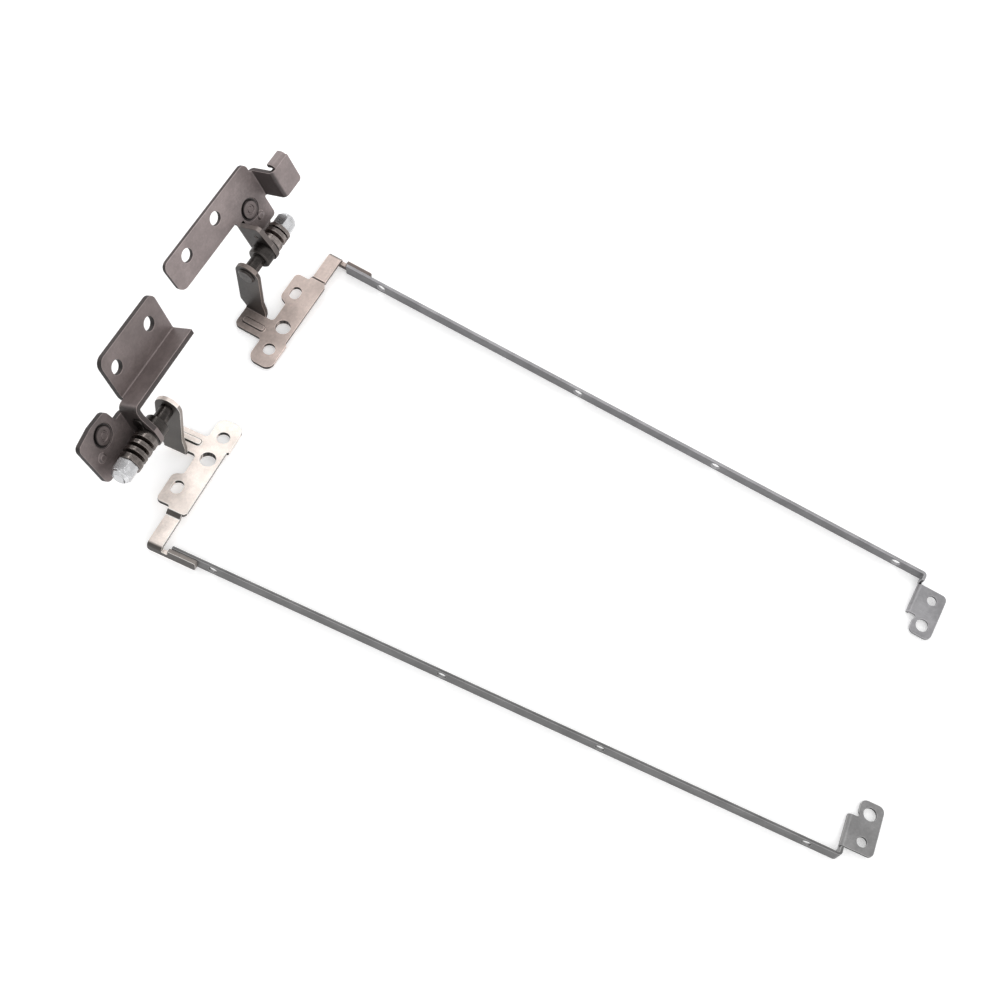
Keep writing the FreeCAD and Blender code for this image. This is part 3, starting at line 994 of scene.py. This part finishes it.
def neck_painted_shade(side: Side) -> PaintedShade:
    """Painted shade on the neck of a lid bracket, at the foot of its arm, that darkens the arm too.

    Args:
        side: the hinge that is meant.

    Returns:
        The film.
    """
    low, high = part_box(side.node("lid_bracket"))
    across = 0.5 * (SHAFTS[side]["pos_m"][0] + high[0])
    return PaintedShade((across, low[1], low[2]), (0.0, 0.0, 1.0), 0.0, NECK_SHADE_REACH, inner_painted_shade=NECK_SHADE,
                   groove_painted_shadow=NO_GROOVE_SHADOW)


def turned(name: str, side: Side, colour: Colour, roughness: float, **extra: float) -> TurnedSteel:
    """Turned finish about the shaft of one hinge.

    Args:
        name: name of the finish.
        side: the hinge whose shaft is meant.
        colour: colour of the clean metal.
        roughness: how matt it is.
        extra: further fields of the finish.

    Returns:
        The finish.
    """
    joint = SHAFTS[side]
    return TurnedSteel(f"{side.value}_{name}", colour, roughness, tuple(joint["pos_m"]), tuple(joint["axis"]),
                       **extra)


def hinge(side: Side) -> List[Group]:
    """Groups of pieces of one hinge, with their finishes.

    Args:
        side: the hinge that is meant.

    Returns:
        Lid side, friction stack and base side.
    """
    tag, tones = side.value, PALETTES[side]
    way = tuple(SHAFTS[side]["axis"])
    # Painted shade round the rivet, with a painted shadow in its groove, for the base and the rivet.
    film_and_shade = rivet_painted_shade(side)
    # Painted shade at the neck and arm, on the left hinge only.
    foot = neck_painted_shade(side) if tones.oily_neck else None
    # Lid walls across the shaft, such as the arm, take painted shade.
    lid = PlatedSheet(f"{tag}_lid_nickel", tones.lid, SHEET_ROUGH, way, wall_painted_shade=tones.lid_wall_painted_shade,
                      metal=LID_METAL, oil=foot)
    # Rail side walls take painted shade, and the rail's sheared edges take painted shade or painted light.
    rail = PlatedSheet(f"{tag}_rail_zinc", tones.rail, SHEET_ROUGH, way, Grain.ALONG_Y,
                       cut_painted_light=tones.rail_cut_painted_light, wall_painted_shade=RAIL_WALL_PAINTED_SHADE)
    oiled = turned("oiled", side, OILED_STEEL, OILED_ROUGH, tip_reach=shaft_reach(side))
    spring = turned("spring", side, tones.spring, SPRING_ROUGH)
    bright = turned("bright", side, BRIGHT_ZINC, BRIGHT_ROUGH, oil=0.2, rim_shade=1.2, relief=0.1)
    # Base, knuckle and rivet walls across the shaft take the default painted shade.
    base = PlatedSheet(f"{tag}_base_nickel", tones.base, BASE_ROUGH, way, metal=BASE_METAL, oil=film_and_shade)
    # The knuckle's sheared edges are painted lighter.
    knuckle = PlatedSheet(f"{tag}_knuckle_nickel", KNUCKLE_NICKEL, BASE_ROUGH, way, cut_painted_light=KNUCKLE_CUT_PAINTED_LIGHT)
    rivet = PlatedSheet(f"{tag}_rivet_nickel", tones.base, RIVET_ROUGH, way, oil=film_and_shade)
    return [LidSide(side, lid, rail), FrictionStack(side, oiled, spring, bright),
            BaseSide(side, base, knuckle, rivet)]


def main() -> None:
    """Build the pair and the studio, piece by piece."""
    logging.basicConfig(level=logging.INFO, format="%(name)s: %(message)s")
    dresser = Dresser()
    for side in Side:
        for group in hinge(side):
            group.build(dresser)
    Studio().build()


if __name__ == "__main__":
    main()
